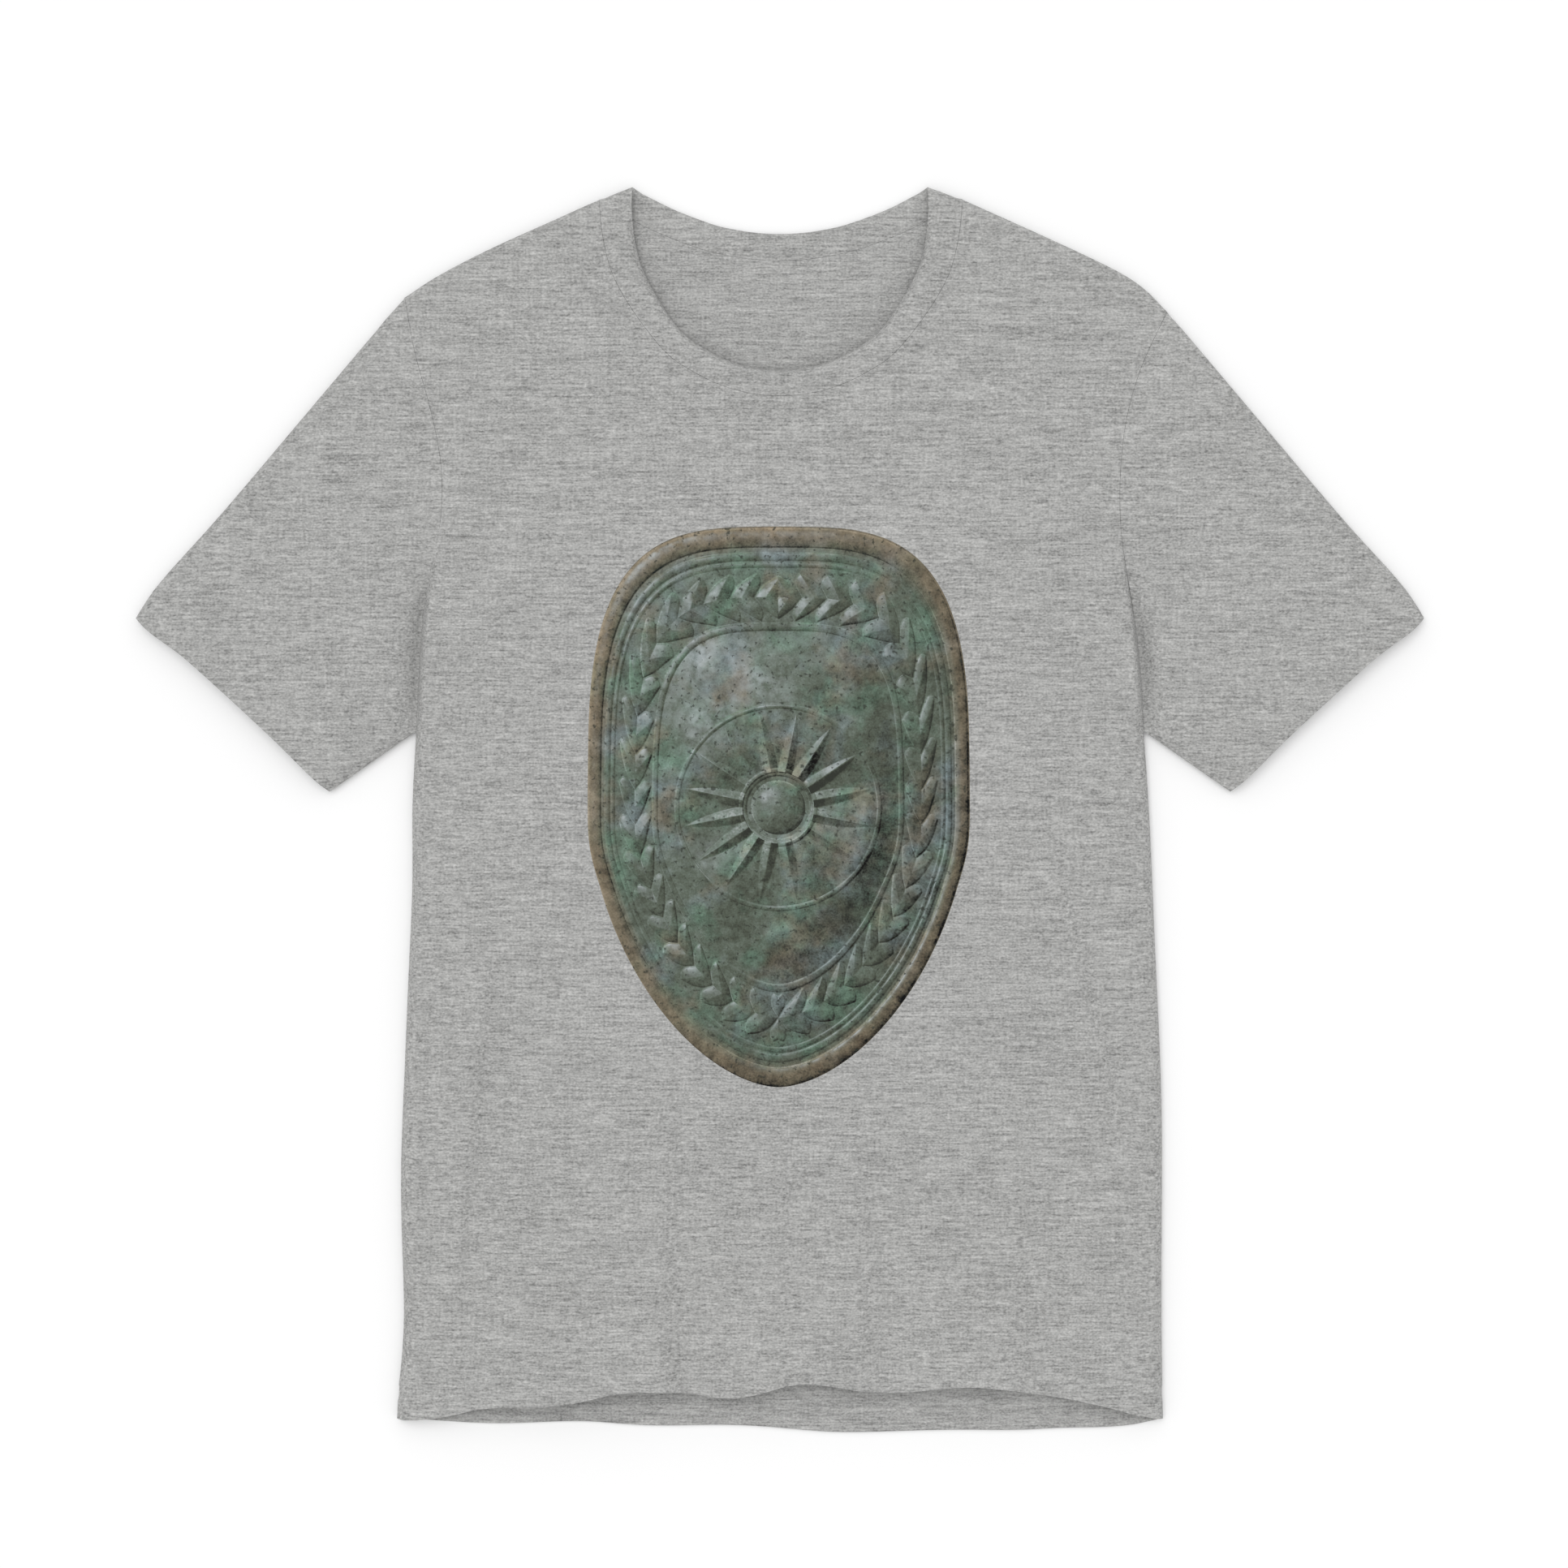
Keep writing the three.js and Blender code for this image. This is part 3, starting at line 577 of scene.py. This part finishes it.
def print_group():
    """The printed shield: its colour and its ink's cover at a place in metres."""
    tree, given, result = new_group(
        "shield_print",
        {"Place": "NodeSocketVector"},
        {"Color": "NodeSocketColor", "Cover": "NodeSocketFloat"},
    )

    def blotches(size, detail):
        """Noise of a size in millimetres."""
        inputs = {"Vector": given["Place"], "Scale": 1 / (size * MM), "Detail": detail}
        return add_node(tree, "ShaderNodeTexNoise", inputs).outputs["Fac"]

    def passing(value, row):
        """A share that grows from 0 at the row's start to its full share at its end."""
        inputs = {"Value": value, "From Min": row["start"], "From Max": row["end"], "To Max": row["share"]}
        return add_node(tree, "ShaderNodeMapRange", inputs).outputs[0]

    steps = [(0, 0, 0), (slope_step * MM, 0, 0), (0, slope_step * MM, 0)]
    reliefs = []
    for step in steps:
        moved = add_node(tree, "ShaderNodeVectorMath", {0: given["Place"], 1: step}, operation="ADD")
        relief = add_node(tree, "ShaderNodeGroup", node_tree=shield_relief)
        tree.links.new(moved.outputs[0], relief.inputs["Place"])
        reliefs.append(relief.outputs)
    lit = 0
    off_shine = 0
    for way, shiny, relief in zip(light_way, shine_slope, reliefs[1:]):
        rise = reckon(tree, "SUBTRACT", relief["Height"], reliefs[0]["Height"])
        slope = reckon(tree, "DIVIDE", rise, slope_step)
        lit = reckon(tree, "MULTIPLY_ADD", slope, -way, lit)
        off = reckon(tree, "SUBTRACT", slope, shiny)
        off_shine = reckon(tree, "MULTIPLY_ADD", off, off, off_shine)
    lit = reckon(tree, "MINIMUM", reckon(tree, "MAXIMUM", lit, -steepest), steepest)
    tone = reckon(tree, "MULTIPLY_ADD", lit, slope_light, middle_tone)
    for mottle in mottles:
        spread = reckon(tree, "SUBTRACT", blotches(mottle["size"], 3), 0.5)
        tone = reckon(tree, "MULTIPLY_ADD", spread, mottle["weight"], tone)
    ramp = add_node(tree, "ShaderNodeValToRGB", {"Fac": tone})
    elements = ramp.color_ramp.elements
    elements[0].position, elements[0].color = bronze_tones[0][0], (*bronze_tones[0][1], 1)
    elements[1].position, elements[1].color = bronze_tones[-1][0], (*bronze_tones[-1][1], 1)
    for position, colour in bronze_tones[1:-1]:
        elements.new(position).color = (*colour, 1)
    colour = ramp.outputs["Color"]
    brightness = reckon(tree, "MULTIPLY_ADD", tone, *patch_brightness)
    for patch in patches:
        share = passing(blotches(patch["size"], 5), patch)
        colour = mixed(tree, share, colour, mixed(tree, 1, patch["colour"], brightness, "MULTIPLY"))
    on_rim = passing(reliefs[0]["Radius"], rim)
    colour = mixed(tree, on_rim, colour, mixed(tree, 1, rim_brown, brightness, "MULTIPLY"))
    shine = reckon(tree, "EXPONENT", reckon(tree, "DIVIDE", off_shine, -shine_spread))
    shine = reckon(tree, "MULTIPLY", shine, passing(blotches(worn["size"], 4), worn))
    colour = mixed(tree, shine, colour, shine_colour)
    pitted = passing(blotches(pits["size"], 5), pits)
    colour = mixed(tree, pitted, colour, (*bronze_tones[0][1], 1))
    tree.links.new(colour, result["Color"])
    cover = reckon(tree, "LESS_THAN", reliefs[0]["Radius"], 1)
    tree.links.new(cover, result["Cover"])
    return tree


shield_print = print_group()

printed_jersey, place, yarn = jersey("printed_jersey")
tree = printed_jersey.node_tree
picture = add_node(tree, "ShaderNodeGroup", node_tree=shield_print)
tree.links.new(place, picture.inputs["Place"])
knit_shade = mixed(tree, knit_share, (1, 1, 1, 1), yarn.outputs["Color"], "MULTIPLY")
inked = mixed(tree, 1, picture.outputs["Color"], knit_shade, "MULTIPLY")
cloth_colour = mixed(tree, picture.outputs["Cover"], yarn.outputs["Color"], inked)
tree.links.new(cloth_colour, tree.nodes["Principled BSDF"].inputs["Base Color"])
front.data.materials.append(printed_jersey)
for face in front.data.polygons:
    if face.normal.z > 0:
        face.material_index = 1

# Sleeves: each is one piece of the same jersey, folded at the top and seamed below, set into the armhole and
# hemmed at the cuff. They lie flat, and tuck in under the body's edge at the underarm.
for side in ("left", "right"):
    node_name = "sleeve_" + side
    sleeve = cloth_from_node(node_name)
    lay(sleeve)
    dress(sleeve, node_name, body_jersey)

# Neckband: a strip of the same jersey, doubled and sewn round the neck by its raw edges. In front its folded
# edge rolls in towards the back.
roll_width = 4.6 * MM
roll_fall = 6.5 * MM
roll_start = 0.25  # radians about the neck's middle from the neck points, over which the roll begins
turn_step = math.radians(3)  # how finely the folded edge is followed


def roll_in(piece):
    """Bends the folded edge down round the front of the neck."""
    places = places_of(piece.data)
    x = places[:, 0] - neck_middle[0]
    y = neck_middle[1] - places[:, 1]
    turn = np.arctan2(y, x)
    reach = np.hypot(x, y)
    front_reach = np.where(places[:, 2] > still_height, reach, np.inf)
    turns = np.arange(roll_start, math.pi - roll_start, turn_step)
    edge = [front_reach[abs(turn - middle) < turn_step / 2].min() for middle in turns]
    inward = np.clip(1 - (reach - np.interp(turn, turns, edge)) / roll_width, 0, 1)
    fall = roll_fall * (1 - np.sqrt(1 - inward * inward))
    fall = fall * eased(turn, 0, roll_start) * eased(math.pi - turn, 0, roll_start)
    places[:, 2] -= fall * eased(places[:, 2], still_height, free_height)
    put_places(piece, places)


band = cloth_from_node("neckband")
lay(band)
roll_in(band)
dress(band, "neckband", body_jersey)

# Floor: a pale table top, seamless as far as the picture goes.
floor_size = 12
floor_drop = 0.2 * MM
floor_mesh = bpy.data.meshes.new("floor")
sheet = bmesh.new()
bmesh.ops.create_grid(sheet, x_segments=1, y_segments=1, size=floor_size / 2)
bmesh.ops.translate(sheet, verts=sheet.verts, vec=(0, 0, -floor_drop))
sheet.to_mesh(floor_mesh)
sheet.free()
floor = bpy.data.objects.new("floor", floor_mesh)
bpy.context.scene.collection.objects.link(floor)
pale = bpy.data.materials.new("pale_floor")
pale.use_nodes = True
pale.node_tree.nodes["Principled BSDF"].inputs["Base Color"].default_value = (0.9, 0.9, 0.9, 1)
pale.node_tree.nodes["Principled BSDF"].inputs["Roughness"].default_value = 0.9
pale.node_tree.nodes["Principled BSDF"].inputs["Specular IOR Level"].default_value = 0
floor_mesh.materials.append(pale)

# Light: even from all round, and more from a wide window above, on the side of the wearer's right shoulder.
all_round_light = 0.83
window_light = 0.99
window_breadth = math.radians(50)
window_place = (-0.2, 0.24, 1)
world = bpy.data.worlds.new("studio")
bpy.context.scene.world = world
world.use_nodes = True
world.node_tree.nodes["Background"].inputs["Color"].default_value = (1, 1, 1, 1)
world.node_tree.nodes["Background"].inputs["Strength"].default_value = all_round_light
lamp = bpy.data.lights.new("window", "SUN")
lamp.energy = window_light
lamp.angle = window_breadth
window = bpy.data.objects.new("window", lamp)
bpy.context.scene.collection.objects.link(window)
window.location = window_place
window.rotation_mode = "QUATERNION"
window.rotation_quaternion = (-window.location).to_track_quat("-Z", "Y")

# Camera: straight above, where the photograph was taken from.
picture_width = 0.8964  # metres across the photograph
picture_middle = (0.0023, 0.0146)
picture_height = 0.004  # the height in the cloth at which the picture has its width
lens = 85
sensor = 36
camera_data = bpy.data.cameras.new("camera")
camera_data.lens = lens
camera_data.sensor_width = sensor
camera = bpy.data.objects.new("camera", camera_data)
bpy.context.scene.collection.objects.link(camera)
camera.location = (*picture_middle, picture_height + picture_width * lens / sensor)
bpy.context.scene.camera = camera

bpy.context.scene.view_settings.view_transform = "Standard"
